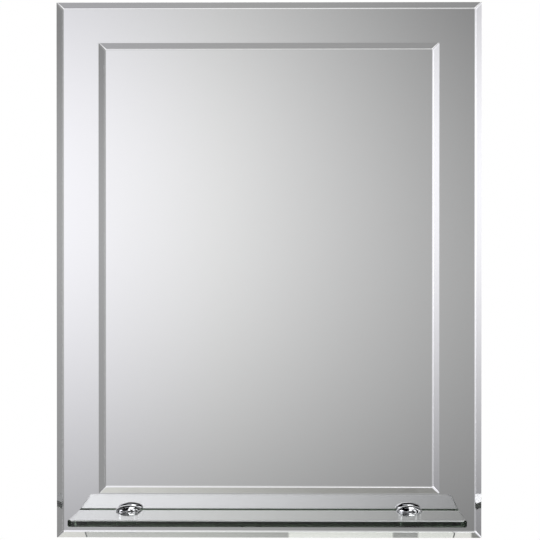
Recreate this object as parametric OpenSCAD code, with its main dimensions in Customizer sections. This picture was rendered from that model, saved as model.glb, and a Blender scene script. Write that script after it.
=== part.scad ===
// Frameless wall mirror: a bevelled main mirror, a smaller bevelled mirror bonded on its face,
// and a glass shelf held by two round clamps that are bolted through the main mirror.
// Front faces -Y, +X is to the right, +Z is up. Origin: wall plane, midway between the keyholes.

/* [Main mirror] */
// Width of the main mirror
main_w = 400; // [380:1:600]
// Height of the main mirror
main_h = 504; // [420:1:800]
// Thickness of the main mirror's glass
main_t = 4; // [3:0.5:6]
// Width of the bevel round the main mirror
main_bevel_w = 6.3; // [4:0.1:15]
// Depth that the bevel takes off the main mirror's edge
main_bevel_d = 2.5; // [0.8:0.1:2.8]
// Thickness of the silver and paint on the back of each mirror
backing_t = 0.2; // [0.1:0.05:0.4]

/* [Inner mirror] */
// Width of main mirror left bare at each side of the inner mirror
side_margin = 40; // [30:0.5:80]
// Height of main mirror left bare above the inner mirror
top_margin = 38.5; // [30:0.5:80]
// Height of main mirror left bare below the inner mirror
bottom_margin = 42.5; // [40:0.5:80]
// Thickness of the inner mirror's glass
inner_t = 4; // [3:0.5:6]
// Width of the bevel round the inner mirror
inner_bevel_w = 6.4; // [4:0.1:15]
// Depth that the bevel takes off the inner mirror's edge
inner_bevel_d = 2.5; // [0.8:0.1:2.8]
// Width of the narrow polished facet where a bevel runs into the face
facet_w = 0.7; // [0.2:0.1:1.5]
// Slope of that facet as a share of the bevel's slope
facet_share = 0.75; // [0.3:0.05:0.9]
// Width of the narrow polished flat along each mitred corner of a bevel
corner_flat_w = 0.8; // [0.3:0.1:1.2]
// Thickness of the bonding strips between the two mirrors
bond_t = 0.8; // [0.5:0.1:2]
// Width of a bonding strip
bond_w = 20; // [10:1:40]
// Distance from the inner mirror's edges to the outer bonding strips
bond_inset = 18; // [8:1:40]

/* [Shelf] */
// Distance from the main mirror's side edge to the end of the shelf
shelf_inset = 21; // [10:0.5:40]
// Depth of the shelf glass from front to back
shelf_depth = 107; // [80:1:140]
// Thickness of the shelf glass
shelf_t = 6.2; // [5:0.1:8]
// Gap between the main mirror's face and the back edge of the shelf
shelf_gap = 4.5; // [4:0.1:6]
// Height of the shelf's top above the bottom edge of the main mirror, at the mirror's face
shelf_rise = 26.5; // [24:0.1:34]
// Angle by which the shelf climbs towards its front edge
shelf_tilt = 1.4; // [0:0.1:3]
// Width of the ground arris along the shelf's long and short edges
shelf_arris = 1; // [0.3:0.1:1.2]
// Length cut off each front corner of the shelf, seen from above
shelf_corner = 3.5; // [1:0.5:10]

/* [Shelf clamps] */
// Distance from each end of the shelf to its clamp's axis
clamp_inset = 47.5; // [20:0.5:80]
// Radius of a clamp
clamp_r = 11.9; // [10.8:0.1:12.2]
// Distance from the main mirror's face to a clamp's axis
clamp_reach = 12; // [11.6:0.1:12.6]
// Height of the metal below the shelf
lower_jaw_h = 7.4; // [7:0.1:9]
// Thickness of the casting's upper jaw, below the cap
upper_jaw_h = 1.2; // [1:0.1:2]
// Height of the upper jaw's straight rim, where the dome starts
clamp_rim_h = 0.4; // [0.2:0.1:0.8]
// Chamfer round the clamp's bottom edge
clamp_chamfer = 0.6; // [0.2:0.1:1]
// Gap between the shelf's back edge and the clamp's back wall
slot_clearance = 0.5; // [0.3:0.1:1]
// Thickness of the soft pads above and below the shelf
pad_t = 0.3; // [0.2:0.1:1]
// Distance from the clamp's rim to the rim of a pad
pad_inset = 0.4; // [0.2:0.1:2]
// Rise of the dome that the upper jaw and the cap form together
dome_rise = 4.6; // [3.6:0.1:6]
// Radius of the peg that carries the cap
peg_r = 5; // [3:0.1:6]
// Height of the peg that carries the cap
peg_h = 1.6; // [1:0.1:2]
// Gap between the peg and the recess in the cap
peg_clearance = 0.1; // [0.05:0.05:0.3]

/* [Clamp fixings] */
// Radius of the threaded stud through the main mirror
stud_r = 2.5; // [2:0.1:2.8]
// Length of stud inside the clamp
stud_grip = 7.4; // [5:0.1:7.8]
// Length of stud left proud of its nut
stud_proud = 0.8; // [0.2:0.1:1.2]
// Gap round the stud and round the clamp screw
thread_clearance = 0.1; // [0.05:0.05:0.2]
// Radius of the clamp screw below the shelf
screw_r = 2; // [1.5:0.1:2.5]
// Length of the clamp screw
screw_l = 6; // [4:0.1:6.8]
// Width across the flats of the hexagon socket in the clamp screw
socket_af = 2; // [1.5:0.1:2]
// Depth of the hexagon socket in the clamp screw
socket_depth = 2; // [1:0.1:3]
// Radius of the hole through the main mirror
glass_hole_r = 4.2; // [4:0.1:6]
// Thickness of the bush's flange between the clamp and the mirror
bush_flange_t = 1; // [0.5:0.1:1.2]
// Radius of the bush's flange
bush_flange_r = 5; // [4.8:0.1:5.5]
// Gap between the bush and the hole through the mirror
bush_clearance = 0.3; // [0.2:0.1:0.5]
// Radius of the washer behind the mirror
washer_r = 7; // [6:0.5:12]
// Thickness of the washer behind the mirror
washer_t = 1; // [0.5:0.1:1.5]
// Width across the flats of the nut
nut_af = 8; // [7:0.5:10]
// Thickness of the nut
nut_t = 4; // [2.5:0.1:4.5]

/* [Wall fixings] */
// Distance from the wall to the back of the main mirror
wall_gap = 8; // [7.5:0.1:12]
// Distance from each side edge of the main mirror to its keyhole
hanger_inset = 80; // [45:1:120]
// Height of the main mirror's top edge above the keyholes
hanger_drop = 70; // [50:1:150]
// Width of a hanger plate
hanger_w = 62; // [54:1:80]
// Height of a hanger plate
hanger_h = 56; // [44:1:90]
// Thickness of a hanger plate's sheet
hanger_t = 1.5; // [1:0.1:2]
// Width of the raised middle of a hanger plate
crown_w = 34; // [24:1:40]
// Inside radius of the bends in a hanger plate
bend_r = 1; // [0.5:0.1:1.5]
// Radius of a hanger plate's corners
plate_corner_r = 4; // [1:0.5:8]
// Distance from a hanger plate's edges to the edges of its adhesive pads
hanger_pad_inset = 1.5; // [0:0.5:3]
// Thickness of the adhesive pads under a hanger plate
hanger_pad_t = 1; // [0.5:0.1:2]
// Radius of the keyhole's entry, for a screw head
keyhole_r = 4.5; // [4.5:0.1:5.5]
// Radius of the keyhole's slot, for a screw's shank
keyhole_slot_r = 2.2; // [1.8:0.1:2.4]
// Height of the slot's end above the entry
keyhole_rise = 9; // [6:0.5:14]
// Radius of the soft bumpers behind the lower part of the mirror
bumper_r = 9; // [6:0.5:12]
// Chamfer round a bumper's wall end
bumper_chamfer = 1.5; // [0.5:0.1:2]
// Distance from each side edge of the main mirror to its bumper
bumper_inset = 50; // [30:1:100]
// Height of the bumpers above the main mirror's bottom edge
bumper_rise = 70; // [50:1:120]

/* [Hidden] */
$fn = 96;
left = -1;
right = 1;
far = 1000; // longer than anything that it cuts
shelf_w = main_w - 2 * shelf_inset;
clamp_x = shelf_w / 2 - clamp_inset;
hanger_x = main_w / 2 - hanger_inset;
bumper_x = main_w / 2 - bumper_inset;
inner_w = main_w - 2 * side_margin;
inner_h = main_h - top_margin - bottom_margin;
main_top = hanger_drop;
main_bottom = main_top - main_h;
main_back = -wall_gap; // Y of the paint on the main mirror's back
glass_back = main_back - backing_t;
face = glass_back - main_t; // Y of the main mirror's front face
inner_back = face - bond_t;
inner_glass_back = inner_back - backing_t;
inner_mid = (main_top - top_margin + main_bottom + bottom_margin) / 2;
main_mid = (main_top + main_bottom) / 2;
shelf_level = main_bottom + shelf_rise; // top of the shelf, carried on to the main mirror's face
bond_h = inner_h - 2 * bond_inset;
bond_x = inner_w / 2 - bond_inset - bond_w / 2;
jaw_top = pad_t + upper_jaw_h; // heights over the shelf's top, in the shelf's own tilted frame
jaw_floor = -shelf_t - pad_t;
clamp_floor = jaw_floor - lower_jaw_h;
slot_back = slot_clearance - shelf_gap;
dome_level = pad_t + clamp_rim_h;
dome_r = (clamp_r * clamp_r + dome_rise * dome_rise) / (2 * dome_rise);
stud_level = shelf_level + (jaw_floor - lower_jaw_h / 2) * cos(shelf_tilt);
hanger_seat = main_back + hanger_pad_t;
crown_inside = crown_w / 2 - hanger_t;
bend_end = crown_w / 2 + bend_r; // where a flange starts

// Cross-section of a bevelled plate: its back lies on Y = 0 and its face on Y = -t
module bevel_section(w, t, bevel_w, bevel_d) {
    slope = bevel_d / bevel_w;
    bevel_start = w / 2 - bevel_w + facet_share * facet_w;
    face_end = bevel_start - facet_w;
    facet_y = -t + slope * facet_share * facet_w;
    polygon([[-w / 2, 0], [-w / 2, bevel_d - t], [-bevel_start, facet_y], [-face_end, -t],
        [face_end, -t], [bevel_start, facet_y], [w / 2, bevel_d - t], [w / 2, 0]]);
}

// Takes the sharp ridge off the mitre at the plate's top right corner
module corner_cut(w, h, t, bevel_w, bevel_d) {
    bevel_angle = atan(bevel_d / bevel_w);
    ridge_angle = atan(bevel_d / bevel_w * sqrt(2) / 2); // slope of the ridge itself, along the diagonal
    ridge_drop = corner_flat_w / 2 * tan(asin(sin(bevel_angle) * sqrt(2) / 2));
    translate([w / 2, bevel_d - t + ridge_drop, h / 2])
        rotate([0, -45, 0])
            rotate([0, 0, ridge_angle])
                translate([-far / 2, -far, -far / 2])
                    cube(far);
}

// Plate with a bevel ground round its front and mitred at the corners, centred on X and Z
module bevelled_plate(w, h, t, bevel_w, bevel_d) {
    difference() {
        intersection() {
            linear_extrude(h, center = true)
                bevel_section(w, t, bevel_w, bevel_d);
            rotate([0, 90, 0])
                linear_extrude(w, center = true)
                    bevel_section(h, t, bevel_w, bevel_d);
        }
        for (turn = [0, 180], flip = [0, 1])
            rotate([0, turn, 0])
                mirror([flip, 0, 0])
                    corner_cut(w, h, t, bevel_w, bevel_d);
    }
}

// Cylinder along Y from y0 to y1 at a clamp's stud
module stud_rod(side, r, y0, y1) {
    translate([side * clamp_x, y0, stud_level])
        rotate([-90, 0, 0])
            cylinder(h = y1 - y0, r = r);
}

// The tilted frame of the shelf: Y = 0 at the main mirror's face, Z = 0 at the shelf's top
module at_shelf() {
    translate([0, face, shelf_level])
        rotate([-shelf_tilt, 0, 0])
            children();
}

// The shelf's frame moved to the axis of one clamp
module at_clamp(side) {
    at_shelf()
        translate([side * clamp_x, -clamp_reach, 0])
            children();
}

module main_glass() {
    color("lightgray", 0.4)
        difference() {
            translate([0, glass_back, main_mid])
                bevelled_plate(main_w, main_h, main_t, main_bevel_w, main_bevel_d);
            for (side = [left, right])
                stud_rod(side, glass_hole_r, face - 1, glass_back + 1);
        }
}

module main_backing() {
    color("silver")
        difference() {
            translate([-main_w / 2, glass_back, main_bottom])
                cube([main_w, backing_t, main_h]);
            for (side = [left, right])
                stud_rod(side, glass_hole_r, glass_back - 1, main_back + 1);
        }
}

module inner_glass() {
    color("lightgray", 0.4)
        translate([0, inner_glass_back, inner_mid])
            bevelled_plate(inner_w, inner_h, inner_t, inner_bevel_w, inner_bevel_d);
}

module inner_backing() {
    color("silver")
        translate([-inner_w / 2, inner_glass_back, inner_mid - inner_h / 2])
            cube([inner_w, backing_t, inner_h]);
}

module bond_strip(x) {
    color("white")
        translate([x - bond_w / 2, inner_back, inner_mid - bond_h / 2])
            cube([bond_w, bond_t, bond_h]);
}

// Outline of the shelf from above, with its front corners cut off
module shelf_outline() {
    front = -shelf_gap - shelf_depth;
    polygon([[-shelf_w / 2, -shelf_gap], [-shelf_w / 2, front + shelf_corner],
        [shelf_corner - shelf_w / 2, front], [shelf_w / 2 - shelf_corner, front],
        [shelf_w / 2, front + shelf_corner], [shelf_w / 2, -shelf_gap]]);
}

// Cross-section of a plate of the shelf's thickness with an arris on each edge, from X = 0 to X = w
module arris_section(w) {
    polygon([[shelf_arris, 0], [w - shelf_arris, 0], [w, shelf_arris], [w, shelf_t - shelf_arris],
        [w - shelf_arris, shelf_t], [shelf_arris, shelf_t], [0, shelf_t - shelf_arris],
        [0, shelf_arris]]);
}

module shelf_glass() {
    color("darkseagreen", 0.5)
        at_shelf()
            intersection() {
                translate([0, 0, -shelf_t])
                    linear_extrude(shelf_t)
                        shelf_outline();
                translate([-shelf_w / 2, 0, -shelf_t])
                    rotate([90, 0, 0])
                        linear_extrude(shelf_gap + shelf_depth + 1)
                            arris_section(shelf_w);
                translate([-shelf_w / 2 - 1, -shelf_gap - shelf_depth, -shelf_t])
                    rotate([90, 0, 90])
                        linear_extrude(shelf_w + 2)
                            arris_section(shelf_depth);
            }
}

// Everything of a clamp in front of its slot's back wall, between two heights
module slot_space(z0, z1) {
    translate([-far / 2, clamp_reach + slot_back - far, z0])
        cube([far, far, z1 - z0]);
}

// Ball whose top is the clamp's dome, wide enough to hold the whole clamp below it
module dome_ball() {
    translate([0, 0, dome_level + dome_rise - dome_r])
        sphere(dome_r);
}

// One casting: the round lower jaw, the wall behind the shelf, the upper jaw and the cap's peg
module clamp_body(side) {
    color("gainsboro")
        difference() {
            at_clamp(side)
                difference() {
                    intersection() {
                        rotate_extrude()
                            polygon([[0, clamp_floor], [clamp_r - clamp_chamfer, clamp_floor],
                                [clamp_r, clamp_floor + clamp_chamfer], [clamp_r, jaw_top],
                                [peg_r, jaw_top], [peg_r, jaw_top + peg_h], [0, jaw_top + peg_h]]);
                        dome_ball();
                    }
                    slot_space(jaw_floor, pad_t);
                    translate([0, 0, clamp_floor - 1])
                        cylinder(h = lower_jaw_h + 2, r = screw_r + thread_clearance);
                }
            translate([-far / 2, face - bush_flange_t, -far / 2])
                cube(far);
            stud_rod(side, stud_r + thread_clearance, face - bush_flange_t - stud_grip, face);
        }
}

// Cap pressed over the peg, flush with the upper jaw's part of the dome
module clamp_cap(side) {
    color("gainsboro")
        at_clamp(side)
            difference() {
                intersection() {
                    dome_ball();
                    translate([0, 0, jaw_top])
                        cylinder(h = dome_rise, r = clamp_r);
                }
                translate([0, 0, jaw_top - 1])
                    cylinder(h = peg_h + 1 + peg_clearance, r = peg_r + peg_clearance);
            }
}

// Soft disc cut off in front of the clamp's back wall
module clamp_pad(side, z0) {
    color("dimgray")
        at_clamp(side)
            intersection() {
                translate([0, 0, z0])
                    cylinder(h = pad_t, r = clamp_r - pad_inset);
                translate([0, -slot_clearance, 0])
                    slot_space(z0 - 1, z0 + pad_t + 1);
            }
}

module clamp_screw(side) {
    color("darkgray")
        at_clamp(side)
            translate([0, 0, jaw_floor - screw_l])
                difference() {
                    cylinder(h = screw_l, r = screw_r);
                    translate([0, 0, -1])
                        cylinder(h = socket_depth + 1, r = socket_af / sqrt(3), $fn = 6);
                }
}

module stud(side) {
    color("silver")
        stud_rod(side, stud_r, face - bush_flange_t - stud_grip,
            main_back + washer_t + nut_t + stud_proud);
}

// Soft flanged bush that keeps the metal off the glass
module bush(side) {
    color("whitesmoke")
        difference() {
            union() {
                stud_rod(side, bush_flange_r, face - bush_flange_t, face);
                stud_rod(side, glass_hole_r - bush_clearance, face - bush_flange_t, main_back);
            }
            stud_rod(side, stud_r + thread_clearance, face - bush_flange_t - 1, main_back + 1);
        }
}

module washer(side) {
    color("silver")
        difference() {
            stud_rod(side, washer_r, main_back, main_back + washer_t);
            stud_rod(side, stud_r + thread_clearance, main_back - 1, main_back + washer_t + 1);
        }
}

module nut(side) {
    nut_start = main_back + washer_t;
    color("silver")
        difference() {
            translate([side * clamp_x, nut_start, stud_level])
                rotate([-90, 0, 0])
                    cylinder(h = nut_t, r = nut_af / sqrt(3), $fn = 6);
            stud_rod(side, stud_r + thread_clearance, nut_start - 1, nut_start + nut_t + 1);
        }
}

// Quarter ring of bent sheet about its centre
module sheet_bend(x, y, turn) {
    translate([x, y])
        rotate(turn)
            intersection() {
                difference() {
                    circle(bend_r + hanger_t);
                    circle(bend_r);
                }
                square(bend_r + hanger_t);
            }
}

// Right half of a hanger plate's cross-section: flange, bend, wall, bend and half of the crown
module hanger_half_section() {
    foot = hanger_seat + hanger_t + bend_r;
    shoulder = -hanger_t - bend_r;
    translate([bend_end, hanger_seat])
        square([hanger_w / 2 - bend_end, hanger_t]);
    sheet_bend(bend_end, foot, 180);
    translate([crown_inside, foot])
        square([hanger_t, shoulder - foot]);
    sheet_bend(crown_inside - bend_r, shoulder, 0);
    translate([0, -hanger_t])
        square([crown_inside - bend_r, hanger_t]);
}

// Block with the outline of a hanger plate from behind, its corners rounded
module hanger_outline() {
    straight_w = hanger_w / 2 - plate_corner_r;
    straight_h = hanger_h / 2 - plate_corner_r;
    rotate([90, 0, 0]) {
        cube([hanger_w, 2 * straight_h, 3 * wall_gap], center = true);
        cube([2 * straight_w, hanger_h, 3 * wall_gap], center = true);
        for (x = [-straight_w, straight_w], z = [-straight_h, straight_h])
            translate([x, z, 0])
                cylinder(h = 3 * wall_gap, r = plate_corner_r, center = true);
    }
}

// Sheet bent to a raised crown that stands off the mirror, with a keyhole in the crown
module hanger_plate(side) {
    color("lightsteelblue")
        translate([side * hanger_x, 0, 0])
            difference() {
                intersection() {
                    linear_extrude(hanger_h, center = true) {
                        hanger_half_section();
                        mirror([1, 0])
                            hanger_half_section();
                    }
                    hanger_outline();
                }
                rotate([90, 0, 0]) {
                    translate([0, 0, -1])
                        cylinder(h = hanger_t + 2, r = keyhole_r);
                    translate([0, keyhole_rise, -1])
                        cylinder(h = hanger_t + 2, r = keyhole_slot_r);
                    translate([-keyhole_slot_r, 0, -1])
                        cube([2 * keyhole_slot_r, keyhole_rise, hanger_t + 2]);
                }
            }
}

module hanger_pads(side) {
    pad_w = hanger_w / 2 - hanger_pad_inset - bend_end;
    pad_h = hanger_h - 2 * hanger_pad_inset;
    color("white")
        translate([side * hanger_x, main_back, -pad_h / 2])
            for (edge = [-bend_end - pad_w, bend_end])
                translate([edge, 0, 0])
                    cube([pad_w, hanger_pad_t, pad_h]);
}

module bumper(side) {
    color("dimgray")
        translate([side * bumper_x, main_back, main_bottom + bumper_rise])
            rotate([-90, 0, 0])
                rotate_extrude()
                    polygon([[0, 0], [bumper_r, 0], [bumper_r, wall_gap - bumper_chamfer],
                        [bumper_r - bumper_chamfer, wall_gap], [0, wall_gap]]);
}

main_glass();
main_backing();
inner_glass();
inner_backing();
bond_strip(-bond_x);  // left_bond_strip
bond_strip(0);  // middle_bond_strip
bond_strip(bond_x);  // right_bond_strip
shelf_glass();
clamp_body(left);  // left_clamp_body
clamp_cap(left);  // left_clamp_cap
clamp_pad(left, 0);  // left_upper_pad
clamp_pad(left, jaw_floor);  // left_lower_pad
clamp_screw(left);  // left_clamp_screw
stud(left);  // left_stud
bush(left);  // left_bush
washer(left);  // left_washer
nut(left);  // left_nut
clamp_body(right);  // right_clamp_body
clamp_cap(right);  // right_clamp_cap
clamp_pad(right, 0);  // right_upper_pad
clamp_pad(right, jaw_floor);  // right_lower_pad
clamp_screw(right);  // right_clamp_screw
stud(right);  // right_stud
bush(right);  // right_bush
washer(right);  // right_washer
nut(right);  // right_nut
hanger_plate(left);  // left_hanger_plate
hanger_pads(left);  // left_hanger_pads
bumper(left);  // left_bumper
hanger_plate(right);  // right_hanger_plate
hanger_pads(right);  // right_hanger_pads
bumper(right);  // right_bumper
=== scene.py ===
import math

import bmesh
import bpy
import numpy as np
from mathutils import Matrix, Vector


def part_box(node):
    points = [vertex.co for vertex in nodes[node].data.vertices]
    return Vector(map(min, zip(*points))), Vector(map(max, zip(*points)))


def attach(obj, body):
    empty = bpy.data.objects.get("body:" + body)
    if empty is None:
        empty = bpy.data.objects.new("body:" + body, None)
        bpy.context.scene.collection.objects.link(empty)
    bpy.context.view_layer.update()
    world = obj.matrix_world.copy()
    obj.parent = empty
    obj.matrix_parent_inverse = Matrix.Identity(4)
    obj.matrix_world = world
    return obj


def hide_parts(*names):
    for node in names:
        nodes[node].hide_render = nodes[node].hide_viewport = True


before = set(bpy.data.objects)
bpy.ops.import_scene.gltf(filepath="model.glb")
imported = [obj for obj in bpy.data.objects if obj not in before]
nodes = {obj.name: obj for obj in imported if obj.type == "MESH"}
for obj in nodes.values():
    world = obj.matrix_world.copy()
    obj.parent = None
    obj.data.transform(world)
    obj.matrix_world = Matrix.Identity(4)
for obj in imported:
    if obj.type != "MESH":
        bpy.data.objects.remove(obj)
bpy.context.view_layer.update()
mm = 0.001
sides = ("left", "right")
white = (1.0, 1.0, 1.0, 1.0)
groundSkin = 0.03 * mm  # what lies this near to a ground edge's planes counts as ground
weld = 0.001 * mm  # points nearer than this become one
print("frame loaded,", len(nodes), "solids")


# Node helpers: a value that is a socket is linked, anything else is set on the socket itself.
def feed(tree, socket, value):
    if isinstance(value, bpy.types.NodeSocket):
        tree.links.new(value, socket)
    else:
        socket.default_value = value


def addNode(tree, kind, inputs=None, **settings):
    node = tree.nodes.new(kind)
    for key, value in settings.items():
        setattr(node, key, value)
    for key, value in (inputs or {}).items():
        feed(tree, node.inputs[key], value)
    return node


def calc(tree, operation, first, second=0.0, third=0.0):
    inputs = {0: first, 1: second, 2: third}
    return addNode(tree, "ShaderNodeMath", inputs, operation=operation).outputs[0]


def vectorMath(tree, operation, first, second=(0.0, 0.0, 0.0)):
    inputs = {0: first, 1: second}
    return addNode(tree, "ShaderNodeVectorMath", inputs, operation=operation).outputs[0]


def between(tree, value, low, high, newLow=0.0, newHigh=1.0, how="LINEAR"):
    inputs = {"Value": value, "From Min": low, "From Max": high, "To Min": newLow, "To Max": newHigh}
    return addNode(tree, "ShaderNodeMapRange", inputs, interpolation_type=how).outputs["Result"]


def mixColours(tree, amount, first, second):
    node = addNode(tree, "ShaderNodeMix", data_type="RGBA")
    feed(tree, node.inputs[0], amount)
    feed(tree, node.inputs[6], first)
    feed(tree, node.inputs[7], second)
    return node.outputs[2]


def objectCoords(tree):
    return addNode(tree, "ShaderNodeTexCoord").outputs["Object"]


def newMaterial(name):
    material = bpy.data.materials.new(name)
    material.use_nodes = True
    return material, material.node_tree, material.node_tree.nodes["Principled BSDF"]


def addBump(tree, shader, height, strength, distance):
    inputs = {"Height": height, "Strength": strength, "Distance": distance}
    bump = addNode(tree, "ShaderNodeBump", inputs)
    feed(tree, shader.inputs["Normal"], bump.outputs[0])
    return bump


# Clear glass: full transmission, and a colour that the glass absorbs by its density per metre.
def makeClear(tree, shader, glass):
    shader.inputs["Transmission Weight"].default_value = 1.0
    shader.inputs["IOR"].default_value = glass["ior"]
    inputs = {"Color": glass["absorbColour"], "Density": glass["absorbDensity"]}
    absorb = addNode(tree, "ShaderNodeVolumeAbsorption", inputs)
    tree.links.new(absorb.outputs[0], tree.nodes["Material Output"].inputs["Volume"])


# A shader that only camera rays see, in place of the one that everything else sees.
def forCamera(tree, lit, seen):
    camera = addNode(tree, "ShaderNodeLightPath").outputs["Is Camera Ray"]
    inputs = {0: camera, 1: lit.outputs[0], 2: seen.outputs[0]}
    return addNode(tree, "ShaderNodeMixShader", inputs).outputs[0]


# A group's sockets are given as name: kind, kind being Float, Vector or Color.
def newGroup(name, inputs, outputs):
    group = bpy.data.node_groups.new(name, "ShaderNodeTree")
    for key, kind in inputs.items():
        group.interface.new_socket(key, in_out="INPUT", socket_type="NodeSocket" + kind)
    for key, kind in outputs.items():
        group.interface.new_socket(key, in_out="OUTPUT", socket_type="NodeSocket" + kind)
    return group, group.nodes.new("NodeGroupInput").outputs, group.nodes.new("NodeGroupOutput").inputs


def useGroup(tree, group, **inputs):
    node = addNode(tree, "ShaderNodeGroup", node_tree=group)
    for key, value in inputs.items():
        feed(tree, node.inputs[key], value)
    return node.outputs


# Cloudy unevenness such as polish haze, coating thickness or handling: a value about 0.5, and a height.
def makeHaze():
    group, given, made = newGroup("haze", {"Place": "Vector", "Scale": "Float", "Fine": "Float"},
                                  {"Cloud": "Float", "Height": "Float"})
    broad = addNode(group, "ShaderNodeTexNoise",
                    {"Vector": given["Place"], "Scale": given["Scale"], "Detail": 4.0, "Roughness": 0.55})
    fine = addNode(group, "ShaderNodeTexNoise",
                   {"Vector": given["Place"], "Scale": given["Fine"], "Detail": 2.0, "Roughness": 0.6})
    height = calc(group, "MULTIPLY_ADD", fine.outputs["Fac"], 0.5, broad.outputs["Fac"])
    group.links.new(broad.outputs["Fac"], made["Cloud"])
    group.links.new(height, made["Height"])
    return group


# Fine lines of grinding or rolling along one axis: noise squeezed across the lines.
def makeGrain():
    group, given, made = newGroup("grain", {"Place": "Vector", "Squeeze": "Vector"}, {"Line": "Float"})
    stretched = vectorMath(group, "MULTIPLY", given["Place"], given["Squeeze"])
    lines = addNode(group, "ShaderNodeTexNoise",
                    {"Vector": stretched, "Scale": 1.0, "Detail": 5.0, "Roughness": 0.7})
    group.links.new(lines.outputs["Fac"], made["Line"])
    return group


# Depth below each pair of a box's sides: half its size less the distance from its middle.
def depthInside(tree, place, half):
    inside = vectorMath(tree, "SUBTRACT", half, vectorMath(tree, "ABSOLUTE", place))
    return addNode(tree, "ShaderNodeSeparateXYZ", {"Vector": inside}).outputs


# 1 on the outermost skin of an upright plate's four sides, 0 on its front, back and bevels.
def makePlateSide():
    group, given, made = newGroup("plateSide", {"Place": "Vector", "Middle": "Vector", "Half": "Vector"},
                                  {"Side": "Float"})
    centred = vectorMath(group, "SUBTRACT", given["Place"], given["Middle"])
    inside = depthInside(group, centred, given["Half"])
    nearest = calc(group, "MINIMUM", inside["X"], inside["Z"])
    group.links.new(calc(group, "LESS_THAN", nearest, groundSkin), made["Side"])
    return group


haze = makeHaze()
grain = makeGrain()
plateSide = makePlateSide()
print("shared effects made")


# Haze on the object's own coordinates. A finish gives its broad and fine scales per metre, and its bump
# as a strength and a depth.
def addHaze(tree, finish):
    broad, fine = finish["haze"]
    return useGroup(tree, haze, Place=objectCoords(tree), Scale=broad, Fine=fine)


mirrorGlass = {
    "ior": 1.52,
    "absorbColour": (0.55, 0.75, 0.65, 1.0),
    "absorbDensity": 2.0,  # per metre
    "polish": (0.0, 0.004),
    "groundRoughness": 0.5,
    "groundColour": (0.80, 0.90, 0.86, 1.0),
    "haze": (18.0, 900.0),
    "bump": (0.3, 0.05 * mm),
}


def mirrorGlassMaterial(node):
    low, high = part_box(node)
    middle = [(low[axis] + high[axis]) / 2 for axis in range(3)]
    half = [(high[axis] - low[axis]) / 2 for axis in range(3)]
    material, tree, shader = newMaterial(node + "Glass")
    side = useGroup(tree, plateSide, Place=objectCoords(tree), Middle=middle, Half=half)["Side"]
    cloud = addHaze(tree, mirrorGlass)
    polish = between(tree, cloud["Cloud"], 0.3, 0.8, *mirrorGlass["polish"])
    rough = calc(tree, "MULTIPLY_ADD", side, mirrorGlass["groundRoughness"], polish)
    feed(tree, shader.inputs["Roughness"], rough)
    feed(tree, shader.inputs["Base Color"], mixColours(tree, side, white, mirrorGlass["groundColour"]))
    addBump(tree, shader, calc(tree, "MULTIPLY", cloud["Height"], side), *mirrorGlass["bump"])
    makeClear(tree, shader, mirrorGlass)
    return material


silverCoat = {
    "colour": (0.945, 0.945, 0.95, 1.0),
    "thinColour": (0.93, 0.93, 0.933, 1.0),
    "roughness": (0.0, 0.003),
    "haze": (9.0, 400.0),
}


def silverMaterial():
    material, tree, shader = newMaterial("silver")
    cloud = addHaze(tree, silverCoat)["Cloud"]
    feed(tree, shader.inputs["Base Color"],
         mixColours(tree, cloud, silverCoat["thinColour"], silverCoat["colour"]))
    feed(tree, shader.inputs["Roughness"], between(tree, cloud, 0.2, 0.8, *silverCoat["roughness"]))
    shader.inputs["Metallic"].default_value = 1.0
    return material


backPaint = {
    "colour": (0.20, 0.215, 0.225, 1.0),
    "thinColour": (0.255, 0.27, 0.28, 1.0),
    "roughness": (0.38, 0.55),
    "runs": (140.0, 1.0, 3.0),  # squeeze along x, y and z, so that the runs hang down
    "runsShare": 0.45,
    "haze": (7.0, 650.0),
    "bump": (0.25, 0.08 * mm),
}


# Curtain-coated protective paint: faint runs down the sheet, soft clouds and a fine orange peel.
def backPaintMaterial():
    material, tree, shader = newMaterial("backPaint")
    cloud = addHaze(tree, backPaint)
    runs = useGroup(tree, grain, Place=objectCoords(tree), Squeeze=backPaint["runs"])["Line"]
    share = backPaint["runsShare"]
    blend = calc(tree, "MULTIPLY_ADD", runs, share, calc(tree, "MULTIPLY", cloud["Cloud"], 1 - share))
    feed(tree, shader.inputs["Base Color"],
         mixColours(tree, between(tree, blend, 0.35, 0.65), backPaint["colour"], backPaint["thinColour"]))
    feed(tree, shader.inputs["Roughness"],
         between(tree, cloud["Cloud"], 0.3, 0.7, *backPaint["roughness"]))
    addBump(tree, shader, cloud["Height"], *backPaint["bump"])
    return material


shelfGlass = {
    "ior": 1.52,
    "absorbColour": (0.34, 0.435, 0.335, 1.0),
    "absorbDensity": 28.0,  # per metre
    "groundRoughness": (0.22, 0.5),
    "groundColour": (0.93, 0.97, 0.95, 1.0),
    "haze": (25.0, 1500.0),
    "bump": (0.4, 0.05 * mm),
    "tilt": math.radians(1.4),  # climbing to the front
    "depth": 107 * mm,
    "thickness": 6.2 * mm,
    "arris": 1.0 * mm,
    "rise": 26.5 * mm,  # top of the shelf over the mirror's bottom edge, at the mirror's face
    "gap": 4.5 * mm,
}


# The shelf's own tilted frame, in which the shelf and the clamps are level: y = 0 at the mirror's face and
# z = 0 at the shelf's top, and x stays as it is.
def fromShelf(points):
    tilt = shelfGlass["tilt"]
    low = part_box("main_glass")[0]
    x, y, z = points[..., 0], points[..., 1], points[..., 2]
    return np.stack([x, low[1] + y * math.cos(tilt) + z * math.sin(tilt),
                     low[2] + shelfGlass["rise"] - y * math.sin(tilt) + z * math.cos(tilt)], -1)


def toShelf(points):
    tilt = shelfGlass["tilt"]
    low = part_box("main_glass")[0]
    x, y, z = points[..., 0], points[..., 1] - low[1], points[..., 2] - low[2] - shelfGlass["rise"]
    return np.stack([x, y * math.cos(tilt) - z * math.sin(tilt),
                     y * math.sin(tilt) + z * math.cos(tilt)], -1)


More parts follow.
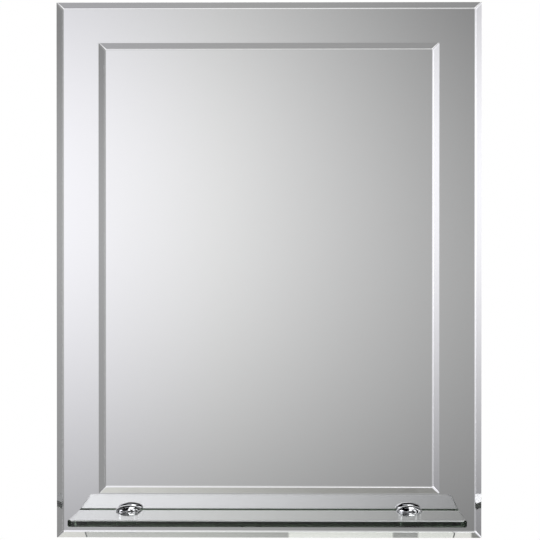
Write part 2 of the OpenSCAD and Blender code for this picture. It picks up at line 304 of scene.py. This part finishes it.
# The arrises are the faces where the depths below the two nearest sides of the shelf add up to the arris.
def shelfGlassMaterial():
    low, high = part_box("shelf_glass")
    half = ((high[0] - low[0]) / 2, shelfGlass["depth"] / 2, shelfGlass["thickness"] / 2)
    middle = fromShelf(np.array([0.0, -shelfGlass["gap"] - half[1], -half[2]])).tolist()
    material, tree, shader = newMaterial("shelfGlass")
    turn = (-shelfGlass["tilt"], 0, 0)
    inputs = {"Vector": objectCoords(tree), "Location": middle, "Rotation": turn}
    own = addNode(tree, "ShaderNodeMapping", inputs, vector_type="TEXTURE").outputs[0]
    inside = depthInside(tree, own, half)
    across = calc(tree, "MINIMUM", inside["X"], inside["Y"])
    cornerSum = calc(tree, "ADD", across, inside["Z"])
    ground = calc(tree, "LESS_THAN", cornerSum, shelfGlass["arris"] + groundSkin)
    cloud = addHaze(tree, shelfGlass)
    rough = between(tree, cloud["Height"], 0.4, 1.1, *shelfGlass["groundRoughness"])
    feed(tree, shader.inputs["Roughness"], calc(tree, "MULTIPLY", ground, rough))
    feed(tree, shader.inputs["Base Color"], mixColours(tree, ground, white, shelfGlass["groundColour"]))
    addBump(tree, shader, calc(tree, "MULTIPLY", cloud["Height"], ground), *shelfGlass["bump"])
    makeClear(tree, shader, shelfGlass)
    return material


chromePlate = {
    "colour": (0.80, 0.81, 0.83, 1.0),
    "handledColour": (0.72, 0.73, 0.75, 1.0),
    "roughness": (0.005, 0.02),
    "haze": (160.0, 2500.0),
}


def chromeMaterial():
    material, tree, shader = newMaterial("chromePlate")
    cloud = addHaze(tree, chromePlate)["Cloud"]
    feed(tree, shader.inputs["Base Color"],
         mixColours(tree, cloud, chromePlate["colour"], chromePlate["handledColour"]))
    feed(tree, shader.inputs["Roughness"], between(tree, cloud, 0.3, 0.7, *chromePlate["roughness"]))
    shader.inputs["Metallic"].default_value = 1.0
    return material


# Zinc plate on drawn steel, with its lines along y, and on rolled sheet, with its lines up z.
zincPlate = {
    "roughness": (0.24, 0.42),
    "haze": (90.0, 1200.0),
    "bump": (0.2, 0.02 * mm),
    "brightZinc": {"colour": (0.62, 0.64, 0.66, 1.0), "patchColour": (0.70, 0.70, 0.68, 1.0),
                   "squeeze": (900.0, 60.0, 900.0)},
    "rolledZinc": {"colour": (0.56, 0.59, 0.62, 1.0), "patchColour": (0.66, 0.67, 0.68, 1.0),
                   "squeeze": (1400.0, 300.0, 60.0)},
}


def zincMaterial(name):
    finish = zincPlate[name]
    material, tree, shader = newMaterial(name)
    cloud = addHaze(tree, zincPlate)["Cloud"]
    line = useGroup(tree, grain, Place=objectCoords(tree), Squeeze=finish["squeeze"])["Line"]
    feed(tree, shader.inputs["Base Color"],
         mixColours(tree, between(tree, cloud, 0.35, 0.65), finish["colour"], finish["patchColour"]))
    feed(tree, shader.inputs["Roughness"], between(tree, line, 0.3, 0.7, *zincPlate["roughness"]))
    addBump(tree, shader, line, *zincPlate["bump"])
    shader.inputs["Metallic"].default_value = 1.0
    return material


softRubber = {
    "colour": (0.018, 0.018, 0.019, 1.0),
    "dustyColour": (0.035, 0.035, 0.036, 1.0),
    "roughness": (0.55, 0.8),
    "haze": (300.0, 3000.0),
    "bump": (0.5, 0.05 * mm),
}


def rubberMaterial():
    material, tree, shader = newMaterial("softRubber")
    cloud = addHaze(tree, softRubber)
    feed(tree, shader.inputs["Base Color"],
         mixColours(tree, cloud["Cloud"], softRubber["colour"], softRubber["dustyColour"]))
    feed(tree, shader.inputs["Roughness"],
         between(tree, cloud["Height"], 0.5, 1.0, *softRubber["roughness"]))
    addBump(tree, shader, cloud["Height"], *softRubber["bump"])
    return material


naturalNylon = {
    "colour": (0.74, 0.73, 0.69, 1.0),
    "paleColour": (0.82, 0.81, 0.78, 1.0),
    "roughness": (0.32, 0.48),
    "haze": (220.0, 1800.0),
}


def nylonMaterial():
    material, tree, shader = newMaterial("nylon")
    cloud = addHaze(tree, naturalNylon)["Cloud"]
    feed(tree, shader.inputs["Base Color"],
         mixColours(tree, cloud, naturalNylon["colour"], naturalNylon["paleColour"]))
    feed(tree, shader.inputs["Roughness"], between(tree, cloud, 0.3, 0.7, *naturalNylon["roughness"]))
    return material


tapeFoam = {
    "wallColour": (0.80, 0.80, 0.78, 1.0),
    # painted shade: the sunk pores are coloured darker than the walls, in place of the shade that falls in
    # them
    "poreShadeColour": (0.66, 0.66, 0.64, 1.0),
    "roughness": 0.85,
    "cells": 2600.0,  # per metre
    "wall": 0.25,  # share of a cell
    "bump": (0.6, 0.08 * mm),
}


# Closed-cell foam: pale walls from the edges of a Voronoi pattern, and pores between them that the bump
# sinks and that get painted shade, a darker colour in place of the shade inside them.
def foamMaterial():
    material, tree, shader = newMaterial("tapeFoam")
    inputs = {"Vector": objectCoords(tree), "Scale": tapeFoam["cells"]}
    cells = addNode(tree, "ShaderNodeTexVoronoi", inputs, feature="DISTANCE_TO_EDGE")
    pore = between(tree, cells.outputs["Distance"], 0.0, tapeFoam["wall"])
    # the pore colour is painted shade laid into the sunk cells
    feed(tree, shader.inputs["Base Color"],
         mixColours(tree, pore, tapeFoam["wallColour"], tapeFoam["poreShadeColour"]))
    shader.inputs["Roughness"].default_value = tapeFoam["roughness"]
    addBump(tree, shader, pore, *tapeFoam["bump"]).invert = True
    return material


silver = silverMaterial()
backPaintFinish = backPaintMaterial()
chrome = chromeMaterial()
brightZinc = zincMaterial("brightZinc")
rolledZinc = zincMaterial("rolledZinc")
rubber = rubberMaterial()
nylon = nylonMaterial()
foam = foamMaterial()
print("materials made")


def setMaterial(thing, material):
    thing.data.materials.clear()
    thing.data.materials.append(material)


for node in ("main_glass", "inner_glass"):
    setMaterial(nodes[node], mirrorGlassMaterial(node))
setMaterial(nodes["shelf_glass"], shelfGlassMaterial())
finishes = {"clamp_body": chrome, "upper_pad": rubber, "lower_pad": rubber, "clamp_screw": brightZinc,
            "bush": nylon, "hanger_plate": rolledZinc, "hanger_pads": foam, "bond_strip": foam}
for name, thing in nodes.items():
    for ending, material in finishes.items():
        if name.endswith(ending):
            setMaterial(thing, material)
print("solids dressed")


# A grid of points with its columns closed to a ring: quads between neighbours, doubles merged and normals
# outwards. With closeRows the last row joins the first as well, which makes a ring with a hole.
def ringMesh(name, points, closeRows=False):
    rows, columns = points.shape[:2]
    index = np.arange(rows * columns).reshape(rows, columns)
    right = np.roll(index, -1, 1)
    below = np.roll(index, -1, 0)
    last = rows if closeRows else rows - 1
    faces = np.stack([index, right, np.roll(right, -1, 0), below], -1)[:last].reshape(-1, 4)
    mesh = bpy.data.meshes.new(name)
    mesh.from_pydata(points.reshape(-1, 3), [], faces)
    shape = bmesh.new()
    shape.from_mesh(mesh)
    bmesh.ops.remove_doubles(shape, verts=shape.verts, dist=weld / 2)
    bmesh.ops.recalc_face_normals(shape, faces=shape.faces)
    shape.to_mesh(mesh)
    shape.free()
    return mesh


def addPiece(name, mesh, material, replaced, smoothAngle=35):
    thing = bpy.data.objects.new(name, mesh)
    bpy.context.scene.collection.objects.link(thing)
    mesh.shade_smooth()
    mesh.set_sharp_from_angle(angle=math.radians(smoothAngle))
    mesh.materials.append(material)
    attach(thing, "root")
    if replaced:
        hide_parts(replaced)


def getPoints(mesh):
    points = np.empty(len(mesh.vertices) * 3)
    mesh.vertices.foreach_get("co", points)
    return points.reshape(-1, 3)


# A profile of (radius, height) points turned round the z axis: x = r cos t, y = r sin t, z = h.
def turned(profile, steps):
    angle = np.linspace(0, 2 * np.pi, steps, endpoint=False)
    radius, height = profile[:, :1], profile[:, 1:]
    return np.stack([radius * np.cos(angle), radius * np.sin(angle), height + 0 * angle], -1)


# A quarter turn of a rounded corner: centre + r (cos t, sin t) for t from start to end in degrees.
def cornerArc(centre, radius, start, end, count=7):
    angle = np.radians(np.linspace(start, end, count))
    return np.stack([centre[0] + radius * np.cos(angle), centre[1] + radius * np.sin(angle)], -1)


sheet = {"push": 0.02 * mm, "inset": 0.05 * mm}


# The silvered sheet: a copy of the solid with its front pushed a hair into the glass, as glass and silver
# are in optical contact, and its sides a hair in. Silver in front, paint behind and on the sides.
def addSilvering(name, node):
    low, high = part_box(node)
    mesh = nodes[node].data.copy()
    points = getPoints(mesh)
    front = points[:, 1] < (low[1] + high[1]) / 2
    points[front, 1] -= sheet["push"]
    inset = sheet["inset"]
    for axis in (0, 2):
        points[:, axis] = np.clip(points[:, axis], low[axis] + inset, high[axis] - inset)
    mesh.vertices.foreach_set("co", points.ravel())
    mesh.materials.clear()  # before the faces get their slots, because it resets them
    shape = bmesh.new()
    shape.from_mesh(mesh)
    bmesh.ops.remove_doubles(shape, verts=shape.verts, dist=weld)
    for face in shape.faces:
        face.material_index = 0 if face.normal.y < -0.9 else 1
    shape.to_mesh(mesh)
    shape.free()
    addPiece(name, mesh, silver, node, 20)
    mesh.materials.append(backPaintFinish)


addSilvering("mainSilvering", "main_backing")
addSilvering("innerSilvering", "inner_backing")
print("silvering laid")


groundEdge = {
    "colour": (0.84, 0.88, 0.86, 1.0),
    "chalkColour": (0.93, 0.95, 0.94, 1.0),
    "roughness": (0.3, 0.5),
    "haze": (140.0, 2500.0),
    "bump": (0.3, 0.05 * mm),
    "proud": 0.02 * mm,
    "clear": 0.002 * mm,  # kept off the shelf's front plane
}


def groundEdgeMaterial():
    material, tree, shader = newMaterial("groundEdge")
    cloud = addHaze(tree, groundEdge)
    chalk = between(tree, cloud["Height"], 0.55, 0.95)
    feed(tree, shader.inputs["Base Color"],
         mixColours(tree, chalk, groundEdge["colour"], groundEdge["chalkColour"]))
    feed(tree, shader.inputs["Roughness"],
         between(tree, cloud["Cloud"], 0.3, 0.7, *groundEdge["roughness"]))
    addBump(tree, shader, cloud["Height"], *groundEdge["bump"])
    return material


# The arris slopes half forwards and half upwards in the shelf's own frame.
def onUpperFrontArris(normal):
    upwards = normal.y * math.sin(shelfGlass["tilt"]) + normal.z * math.cos(shelfGlass["tilt"])
    return normal.y <= -0.3 and 0.3 < upwards < 0.9


# The ground skin on the shelf's upper front arris: the corners of its sloping face, and the same corners
# moved out by the skin's thickness, all cut off at the shelf's planes.
def addGroundEdge():
    solid = nodes["shelf_glass"].data
    sloping = [face for face in solid.polygons if onUpperFrontArris(face.normal)]
    corners = [corner for face in sloping for corner in face.vertices]
    inner = np.unique(np.round(toShelf(getPoints(solid)[corners]) / weld) * weld, axis=0)
    outer = inner + groundEdge["proud"] * np.array([0, -1, 1]) / math.sqrt(2)
    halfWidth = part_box("shelf_glass")[1][0]
    back = -shelfGlass["gap"]
    front = back - shelfGlass["depth"] + groundEdge["clear"]
    points = np.clip(np.concatenate([inner, outer]), (-halfWidth, front, -shelfGlass["thickness"]),
                     (halfWidth, back, 0))
    faces = [(3, 2, 1, 0), (4, 5, 6, 7), (5, 4, 0, 1), (6, 5, 1, 2), (7, 6, 2, 3), (4, 7, 3, 0)]
    mesh = bpy.data.meshes.new("groundEdge")
    mesh.from_pydata(fromShelf(points), [], faces)
    addPiece("groundEdge", mesh, groundEdgeMaterial(), None)


addGroundEdge()
print("arris ground")


cap = {
    "radius": 11.9 * mm,
    "height": 5.3 * mm,
    "seat": 1.5 * mm,
    "skirt": 0.85 * mm,
    "gap": 0.03 * mm,  # between the skirt and the jaw
    "jawLevel": 0.7 * mm,
    "jawRise": 4.6 * mm,
    "reach": 12.0 * mm,  # of the cap's middle from the mirror's face
    "pegRadius": 5.1 * mm,
    "pegHeight": 1.7 * mm,
    "columns": 160,
}


# Cap drawn like a flattened ball over the upper jaw: recess for the peg, flat seat, a skirt that follows
# the jaw's own ball, and outside a quarter ellipse r = radius cos t, z = height sin t up to the pole.
def addCap(side):
    low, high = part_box(side + "_clamp_cap")
    ballRadius = (cap["radius"] ** 2 + cap["jawRise"] ** 2) / (2 * cap["jawRise"])
    ballCentre = cap["jawLevel"] + cap["jawRise"] - ballRadius
    top = cap["seat"] + cap["pegHeight"]
    recess = np.array([[0, top], [cap["pegRadius"], top], [cap["pegRadius"], cap["seat"]]])
    height = np.linspace(cap["seat"], cap["skirt"], 8)
    skirt = np.stack([np.sqrt(ballRadius ** 2 - (height - ballCentre) ** 2) + cap["gap"], height], -1)
    angle = np.linspace(math.asin(cap["skirt"] / cap["height"]), np.pi / 2, 64)
    shell = np.stack([cap["radius"] * np.cos(angle), cap["height"] * np.sin(angle)], -1)
    shell[-1, 0] = 0
    points = turned(np.concatenate([recess, skirt, shell]), cap["columns"])
    points = fromShelf(points + np.array([(low[0] + high[0]) / 2, -cap["reach"], 0]))
    addPiece(side + "Cap", ringMesh(side + "Cap", points), chrome, side + "_clamp_cap", 40)


for side in sides:
    addCap(side)
print("caps turned")


# Small parts on the stud's axis, which runs along y: x = cx + r cos t, y = h, z = cz + r sin t.
def alongStud(side, points):
    low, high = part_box(side + "_stud")
    return np.stack([(low[0] + high[0]) / 2 + points[..., 0], points[..., 2],
                     (low[2] + high[2]) / 2 + points[..., 1]], -1)


thread = {
    "pitch": 0.8 * mm,
    "depth": 0.42 * mm,
    "steepness": 1.25,
    "crest": 0.12,
    "chamfer": 0.6 * mm,
    "play": 0.1 * mm,  # between the thread and what is on it
    "rowsPerTurn": 12,
    "columns": 48,
}


def boreRadius(side):
    low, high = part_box(side + "_stud")
    return (high[0] - low[0]) / 2 + thread["play"]


# Screw thread: r = outer radius less depth times a triangle wave of height / pitch - angle / 360 degrees,
# tapered at both ends.
def addStud(side):
    low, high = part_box(side + "_stud")
    radius = (high[0] - low[0]) / 2
    start, end = low[1], high[1]
    rows = int((end - start) / thread["pitch"] * thread["rowsPerTurn"])
    height = np.linspace(start, end, rows)[:, None]
    angle = np.linspace(0, 2 * np.pi, thread["columns"], endpoint=False)[None, :]
    wave = np.abs(((height - start) / thread["pitch"] - angle / (2 * np.pi)) % 1 * 2 - 1)
    groove = radius - thread["depth"] * np.clip(wave * thread["steepness"] - thread["crest"], 0, 1)
    taper = radius - np.clip(thread["chamfer"] - np.minimum(height - start, end - height), 0, None)
    reach = np.minimum(groove, taper)
    body = np.stack([reach * np.cos(angle), reach * np.sin(angle), height + 0 * angle], -1)
    tip = np.zeros((1, thread["columns"], 3))
    points = np.concatenate([tip + [0, 0, start], body, tip + [0, 0, end]])
    mesh = ringMesh(side + "Stud", alongStud(side, points))
    addPiece(side + "Stud", mesh, brightZinc, side + "_stud", 50)


nut = {
    "crown": 0.97,  # the flat ring on each end, as a share of the half width across the flats
    "shoulder": 1.01,  # where the chamfer cone meets the wall
    "slope": math.radians(30),
    "step": 0.05 * mm,
    "mouth": 0.3 * mm,
    "columns": 144,
}


# Hexagon nut: wall r = flat / cos(angle from the flat's middle), cut by a chamfer cone, so each face's
# edge dips towards the corners.
def addNut(side):
    low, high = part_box(side + "_nut")
    start, end = low[1], high[1]
    flat = (high[2] - low[2]) / 2
    bore = boreRadius(side)
    angle = np.linspace(0, 2 * np.pi, nut["columns"], endpoint=False)
    wall = flat / np.cos((angle - np.pi / 2 + np.pi / 6) % (np.pi / 3) - np.pi / 6)
    shoulder = flat * nut["shoulder"]
    dip = np.clip(wall - shoulder, 0, None) * math.tan(nut["slope"])
    ring = np.stack([np.cos(angle), np.sin(angle)], -1)

    def level(radius, height):
        return np.concatenate([ring * (radius + 0 * angle)[:, None], (height + 0 * angle)[:, None]], -1)

    crown, mouth, step = flat * nut["crown"], nut["mouth"], nut["step"]
    rows = [level(bore, start + mouth), level(bore + mouth, start), level(crown, start),
            level(np.minimum(wall, shoulder), start + step), level(wall, start + step + dip),
            level(wall, end - step - dip), level(np.minimum(wall, shoulder), end - step),
            level(crown, end), level(bore + mouth, end), level(bore, end - mouth)]
    mesh = ringMesh(side + "Nut", alongStud(side, np.stack(rows)), closeRows=True)
    addPiece(side + "Nut", mesh, brightZinc, side + "_nut", 25)


washer = {"edge": 0.3 * mm, "burr": 0.05 * mm, "columns": 96}


# Stamped washer: rounded on the side that the punch entered, nearly sharp on the other.
def addWasher(side):
    low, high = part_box(side + "_washer")
    start, end = low[1], high[1]
    outer = (high[0] - low[0]) / 2
    bore = boreRadius(side)
    edge, burr = washer["edge"], washer["burr"]
    profile = np.concatenate([[[bore, start], [outer - burr, start], [outer, start + burr]],
                              cornerArc((outer - edge, end - edge), edge, 0, 90),
                              cornerArc((bore + edge, end - edge), edge, 90, 180)])
    points = alongStud(side, turned(profile, washer["columns"]))
    mesh = ringMesh(side + "Washer", points, closeRows=True)
    addPiece(side + "Washer", mesh, brightZinc, side + "_washer", 30)


bumper = {
    "footIn": 0.2 * mm,
    "footUp": 0.3 * mm,
    "nose": 1.8 * mm,
    "rim": 0.62,  # share of the radius where the hollow begins
    "hollow": 0.5,  # share of the radius where it is nearly flat
    "hollowDepth": (0.35 * mm, 0.45 * mm),
    "columns": 96,
}


# Soft bumper: a chamfered foot, a straight wall and a rounded nose that is hollowed a little.
def addBumper(side):
    low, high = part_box(side + "_bumper")
    centre = ((low[0] + high[0]) / 2, (low[2] + high[2]) / 2)
    radius = (high[0] - low[0]) / 2
    start, end = low[1], high[1]
    nose = bumper["nose"]
    foot = [[0, start], [radius - bumper["footIn"], start], [radius, start + bumper["footUp"]]]
    edgeDepth, middleDepth = bumper["hollowDepth"]
    hollow = [[radius * bumper["rim"], end], [radius * bumper["hollow"], end - edgeDepth],
              [0, end - middleDepth]]
    profile = np.concatenate([foot, cornerArc((radius - nose, end - nose), nose, 0, 90, 10), hollow])
    grid = turned(profile, bumper["columns"])
    points = np.stack([centre[0] + grid[..., 0], grid[..., 2], centre[1] + grid[..., 1]], -1)
    addPiece(side + "Bumper", ringMesh(side + "Bumper", points), rubber, side + "_bumper", 30)


for side in sides:
    addStud(side)
    addNut(side)
    addWasher(side)
    addBumper(side)
print("fixings made")


# The studio is a function of direction: straight out of the mirror is 0, 0, u is degrees towards the side
# that is right in the photo, and v is degrees up. Every light is strength * across(u) * up(v). A bell has
# a middle and a width, a band has two edges and the softness they fall off over, and None is everywhere.
studio = {
    "behind": 1.0,
    "behindDip": 0.8,  # share taken off low behind the mirror, where the clear corner looks through
    "ground": 0.35,
    "behindEdge": (150, 20),  # degrees aside where the front gives way to the back, and the softness
    "dipEdge": (165, 8),
    "dipBand": ("band", -13, 0, 3.0),
    "belowEdge": (34, 14),  # degrees down, and the softness
    "cool": (0.996, 0.99, 1.03, 1.0),  # colour of the light on the left and above the shelf
    "coolEdge": (-5.5, -2.0),
    "coolBand": ("band", 6.5, 14, 1.5),
    "warm": (1.0, 1.0, 0.95, 1.0),  # colour of the light seen in the lower bevel
    "warmBand": ("band", 16, 23, 1.0),
    "lights": {
        "wall": (None, ("bell", -3.23, 8.01), 0.178),
        "bright": (("bell", -7.71, 10.68), ("bell", 2.05, 8.47), 0.893),
        "eyeBand": (("bell", -6, 9.5), ("band", 7.0, 11, 1.0), 0.69),
        "facetBand": (("band", -18, 12, 6.0), ("band", 11.4, 15.9, 0.6), 0.85),
        "lintel": (None, ("band", 16.5, 21.5, 2.0), 0.23),
        "lintelGlow": (("bell", -8, 7), ("band", 16.5, 21.5, 2.0), 0.55),
        "leftCard": (("band", -60, -13, 3.0), ("bell", 2.1, 6.0), 0.83),
        "leftSoftbox": (("band", -27, -16.5, 1.0), ("band", 7.2, 12, 1.0), 1.2),
        "rightCard": (("band", 9, 50, 4.0), ("band", -11, 13, 4.0), 0.145),
        "rightGlow": (("band", 9, 50, 4.0), ("bell", 1.5, 3.5), 0.10),
        "rightUpper": (("band", 9, 50, 4.0), ("band", 6.5, 13, 3.0), 0.20),
        "floorTone": (("bell", -9, 22), ("band", -24, -15.6, 2.5), 0.42),
        "table": (("band", -18, 14, 6.0), ("band", -15.4, -8.6, 1.35), 1.25),
        "stripLeft": (("band", -0.4, 2.21, 0.06), ("band", 16.2, 18.75, 0.4), 0.8),
        "stripRight": (("band", 2.84, 3.74, 0.06), ("band", 16.2, 18.75, 0.4), 0.84),
        "stripEnd": (("band", 3.74, 4.17, 0.06), ("band", 16.2, 18.75, 0.4), 0.55),
        "overhead": (("band", 2, 36, 4.0), ("band", 56, 80, 4.0), 3.2),
        "overheadFront": (("band", -18, 30, 6.0), ("band", 44, 56, 3.0), 0.6),
        "overheadGlow": (("band", -40, -9, 5.0), ("band", 22.5, 27, 4.0), 1.6),
        "overheadRight": (("band", 67, 100, 5.0), ("band", 48, 83, 5.0), 1.6),
        "sideLeft": (("band", -88, -67, 4.0), ("band", -6, 46, 4.0), 2.6),
        "sideRight": (("band", 54, 72, 4.0), ("band", -24, 47, 4.0), 1.6),
        "farRight": (("band", 90, 104, 4.0), ("band", -2, 13, 4.0), 2.6),
        "roomLeft": (("band", -150, -108, 8.0), ("band", -14, 88, 8.0), 0.55),
        "roomRight": (("band", 110, 150, 8.0), ("band", -14, 88, 8.0), 0.55),
        "floorLeft": (("band", -150, -34, 8.0), ("band", -40, -13, 5.0), 0.4),
        "floorRight": (("band", 32, 150, 8.0), ("band", -40, -13, 5.0), 0.4),
    },
}


def rises(tree, value, edge, soft):
    return between(tree, value, edge - soft / 2, edge + soft / 2, how="SMOOTHSTEP")


# A bell is exp(-((x - middle) / width)^2), a band is one between its edges.
def spread(tree, value, form):
    if form[0] == "bell":
        offset = calc(tree, "DIVIDE", calc(tree, "SUBTRACT", value, form[1]), form[2])
        square = calc(tree, "MULTIPLY", offset, offset)
        return calc(tree, "EXPONENT", calc(tree, "MULTIPLY", square, -1.0))
    low, high, soft = form[1:]
    return calc(tree, "SUBTRACT", rises(tree, value, low, soft), rises(tree, value, high, soft))


def frontLight(tree, u, v):
    total = 0.0
    for across, up, strength in studio["lights"].values():
        light = calc(tree, "MULTIPLY", spread(tree, v, up), strength)
        if across:
            light = calc(tree, "MULTIPLY", spread(tree, u, across), light)
        total = calc(tree, "ADD", total, light)
    return total


def lightColour(tree, u, v):
    cool = calc(tree, "MAXIMUM", between(tree, u, *studio["coolEdge"], 1.0, 0.0),
                spread(tree, v, studio["coolBand"]))
    colour = mixColours(tree, cool, white, studio["cool"])
    return mixColours(tree, spread(tree, v, studio["warmBand"]), colour, studio["warm"])


def buildWorld():
    world = bpy.data.worlds.new("studio")
    bpy.context.scene.world = world
    world.use_nodes = True
    tree = world.node_tree
    tree.nodes.clear()
    direction = addNode(tree, "ShaderNodeTexCoord").outputs["Generated"]
    parts = addNode(tree, "ShaderNodeSeparateXYZ", {0: direction})
    x, y, z = (parts.outputs[axis] for axis in "XYZ")
    degrees = 180 / math.pi
    u = calc(tree, "MULTIPLY", calc(tree, "ARCTAN2", x, calc(tree, "MULTIPLY", y, -1.0)), degrees)
    v = calc(tree, "MULTIPLY", calc(tree, "ARCSINE", z), degrees)
    aside = calc(tree, "ABSOLUTE", u)
    dip = calc(tree, "MULTIPLY", rises(tree, aside, *studio["dipEdge"]),
               spread(tree, v, studio["dipBand"]))
    behind = calc(tree, "MULTIPLY_ADD", dip, -studio["behindDip"], studio["behind"])
    turn = rises(tree, aside, *studio["behindEdge"])
    light = between(tree, turn, 0.0, 1.0, frontLight(tree, u, v), behind)
    below = rises(tree, calc(tree, "MULTIPLY", v, -1.0), *studio["belowEdge"])
    light = between(tree, below, 0.0, 1.0, light, studio["ground"])
    lit = addNode(tree, "ShaderNodeBackground", {"Color": lightColour(tree, u, v), "Strength": light})
    seen = addNode(tree, "ShaderNodeBackground", {"Color": white, "Strength": 1.0})
    output = addNode(tree, "ShaderNodeOutputWorld")
    tree.links.new(forCamera(tree, lit, seen), output.inputs["Surface"])


buildWorld()


floor = {
    "drop": 0.5,
    "reach": 1.6,
    "colour": (0.85, 0.85, 0.84, 1.0),
    "paleColour": (0.9, 0.9, 0.89, 1.0),
    "roughness": 0.7,
    "haze": (3.0, 80.0),
}


# Pale floor under the hanging mirror, white where the camera sees it.
def addFloor():
    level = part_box("main_glass")[0][2] - floor["drop"]
    reach = floor["reach"]
    corners = [(-reach, -reach, level), (reach, -reach, level), (reach, reach, level),
               (-reach, reach, level)]
    mesh = bpy.data.meshes.new("floor")
    mesh.from_pydata(corners, [], [(0, 1, 2, 3)])
    thing = bpy.data.objects.new("floor", mesh)
    bpy.context.scene.collection.objects.link(thing)
    material, tree, shader = newMaterial("paleFloor")
    cloud = addHaze(tree, floor)["Cloud"]
    feed(tree, shader.inputs["Base Color"], mixColours(tree, cloud, floor["colour"], floor["paleColour"]))
    shader.inputs["Roughness"].default_value = floor["roughness"]
    seen = addNode(tree, "ShaderNodeEmission", {"Color": white, "Strength": 1.0})
    tree.links.new(forCamera(tree, shader, seen), tree.nodes["Material Output"].inputs["Surface"])
    mesh.materials.append(material)


addFloor()
print("studio set")


view = {
    "right": 33.7 * mm,
    "above": 20.7 * mm,
    "distance": 2.25,
    "turn": math.radians(0.83),
    "pitch": math.radians(89.48),  # from straight down
    "lens": 159.53,
    "sensor": 36,
    "near": 0.1,
    "far": 50,
}


# The camera's place is measured from the middle of the main mirror's face.
def addCamera():
    low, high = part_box("main_glass")
    data = bpy.data.cameras.new("camera")
    data.sensor_width = view["sensor"]
    data.lens = view["lens"]
    data.clip_start = view["near"]
    data.clip_end = view["far"]
    thing = bpy.data.objects.new("camera", data)
    bpy.context.scene.collection.objects.link(thing)
    thing.location = (view["right"], low[1] - view["distance"], (low[2] + high[2]) / 2 + view["above"])
    thing.rotation_euler = (view["pitch"], 0, view["turn"])
    bpy.context.scene.camera = thing


addCamera()
scene = bpy.context.scene
scene.view_settings.view_transform = "Standard"
scene.cycles.max_bounces = 32  # light crosses the glass, the silver and the shelf many times
scene.cycles.transmission_bounces = 32
scene.cycles.glossy_bounces = 16
print("camera set")
